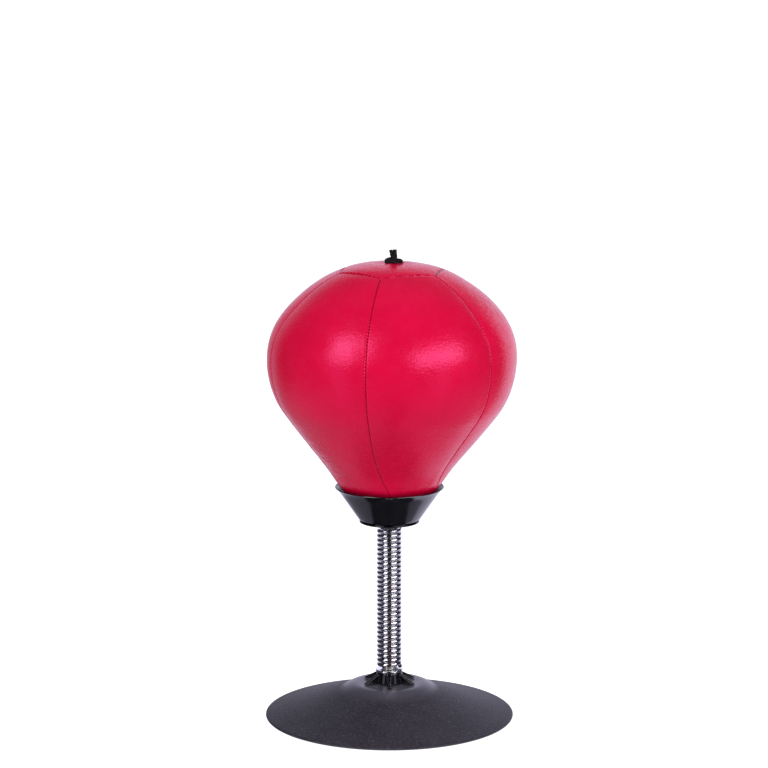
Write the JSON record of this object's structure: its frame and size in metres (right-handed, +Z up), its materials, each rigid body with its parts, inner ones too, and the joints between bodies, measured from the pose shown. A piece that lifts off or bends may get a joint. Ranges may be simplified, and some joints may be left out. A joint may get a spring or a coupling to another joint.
{
  "type": "desktop punching ball",
  "caption": "Desktop punching ball: a laced, panelled leather ball in a flared cup, on a chrome coil spring that bends, over a wide suction-cup base.",
  "frame": {"origin": "middle of the base, on the desk", "axes": "+Z up along the spring, -Y towards the front, +X to the right seen from the front"},
  "size_m": [0.151, 0.151, 0.2865],
  "materials": {
    "suction_cup_pvc": "fine-grained satin",
    "hub_plastic": "gloss",
    "cup_plastic": "gloss",
    "zinc_plated_steel": "satin zinc",
    "chrome": "bright chrome",
    "black_rubber": "matt",
    "red_leather": "semi-gloss coated leather",
    "bladder_rubber": "matt latex",
    "lace_cord": "waxed braided cord"
  },
  "bodies": {
    "rim": {"suction_cup": "suction_cup_pvc"},
    "hub": {"base_hub": "hub_plastic", "clamp_plate": "zinc_plated_steel", "sealing_washer": "black_rubber", "base_bolt": "zinc_plated_steel", "spring_seat_ring": "chrome", "lower_spring_plug": "zinc_plated_steel", "spring_1": "chrome"},
    "link_1": {"spring_2": "chrome"},
    "link_2": {"spring_3": "chrome"},
    "link_3": {"spring_4": "chrome"},
    "link_4": {"spring_5": "chrome"},
    "link_5": {"spring_6": "chrome"},
    "link_6": {"spring_7": "chrome"},
    "link_7": {"spring_8": "chrome"},
    "head": {"spring_9": "chrome", "upper_spring_plug": "zinc_plated_steel", "upper_washer": "chrome", "ball_cup": "cup_plastic", "clamp_disc": "zinc_plated_steel", "lock_washer": "zinc_plated_steel", "cup_bolt": "zinc_plated_steel", "cover_panel_1": "red_leather", "cover_panel_2": "red_leather", "cover_panel_3": "red_leather", "cover_panel_4": "red_leather", "cover_panel_5": "red_leather", "cover_panel_6": "red_leather", "cover_top_panel": "red_leather", "bladder": "bladder_rubber", "valve_body": "black_rubber", "valve_plug": "bladder_rubber", "lace": "lace_cord"}
  },
  "joints": [
    {"name": "suction_press", "type": "slide", "parent": "rim", "child": "hub", "axis": [0, 0, 1], "range_m": [-0.005, 0], "stiffness_N_per_m": 5000, "springref_m": 0.001, "deforming": ["suction_cup"]},
    {"name": "sway_side_1", "type": "hinge", "parent": "hub", "child": "link_1", "pos_m": [0, 0, 0.04303], "axis": [0, 1, 0], "range_deg": [-15, 15], "stiffness_Nm_per_rad": 3.6, "deforming": ["spring_1", "spring_2"]},
    {"name": "sway_front_1", "type": "hinge", "parent": "link_1", "child": "link_2", "pos_m": [0, 0, 0.05189], "axis": [1, 0, 0], "range_deg": [-15, 15], "stiffness_Nm_per_rad": 3.6, "deforming": ["spring_2", "spring_3"]},
    {"name": "sway_side_2", "type": "hinge", "parent": "link_2", "child": "link_3", "pos_m": [0, 0, 0.06076], "axis": [0, 1, 0], "range_deg": [-15, 15], "stiffness_Nm_per_rad": 3.6, "deforming": ["spring_3", "spring_4"]},
    {"name": "sway_front_2", "type": "hinge", "parent": "link_3", "child": "link_4", "pos_m": [0, 0, 0.06962], "axis": [1, 0, 0], "range_deg": [-15, 15], "stiffness_Nm_per_rad": 3.6, "deforming": ["spring_4", "spring_5"]},
    {"name": "sway_side_3", "type": "hinge", "parent": "link_4", "child": "link_5", "pos_m": [0, 0, 0.07848], "axis": [0, 1, 0], "range_deg": [-15, 15], "stiffness_Nm_per_rad": 3.6, "deforming": ["spring_5", "spring_6"]},
    {"name": "sway_front_3", "type": "hinge", "parent": "link_5", "child": "link_6", "pos_m": [0, 0, 0.08734], "axis": [1, 0, 0], "range_deg": [-15, 15], "stiffness_Nm_per_rad": 3.6, "deforming": ["spring_6", "spring_7"]},
    {"name": "sway_side_4", "type": "hinge", "parent": "link_6", "child": "link_7", "pos_m": [0, 0, 0.09621], "axis": [0, 1, 0], "range_deg": [-15, 15], "stiffness_Nm_per_rad": 3.6, "deforming": ["spring_7", "spring_8"]},
    {"name": "sway_front_4", "type": "hinge", "parent": "link_7", "child": "head", "pos_m": [0, 0, 0.10507], "axis": [1, 0, 0], "range_deg": [-15, 15], "stiffness_Nm_per_rad": 3.6, "deforming": ["spring_8", "spring_9"]}
  ],
  "couplings": [
    {"joint": "sway_side_2", "follows": "sway_side_1", "ratio": 1},
    {"joint": "sway_front_2", "follows": "sway_front_1", "ratio": 1},
    {"joint": "sway_side_3", "follows": "sway_side_1", "ratio": 1},
    {"joint": "sway_front_3", "follows": "sway_front_1", "ratio": 1},
    {"joint": "sway_side_4", "follows": "sway_side_1", "ratio": 1},
    {"joint": "sway_front_4", "follows": "sway_front_1", "ratio": 1}
  ]
}
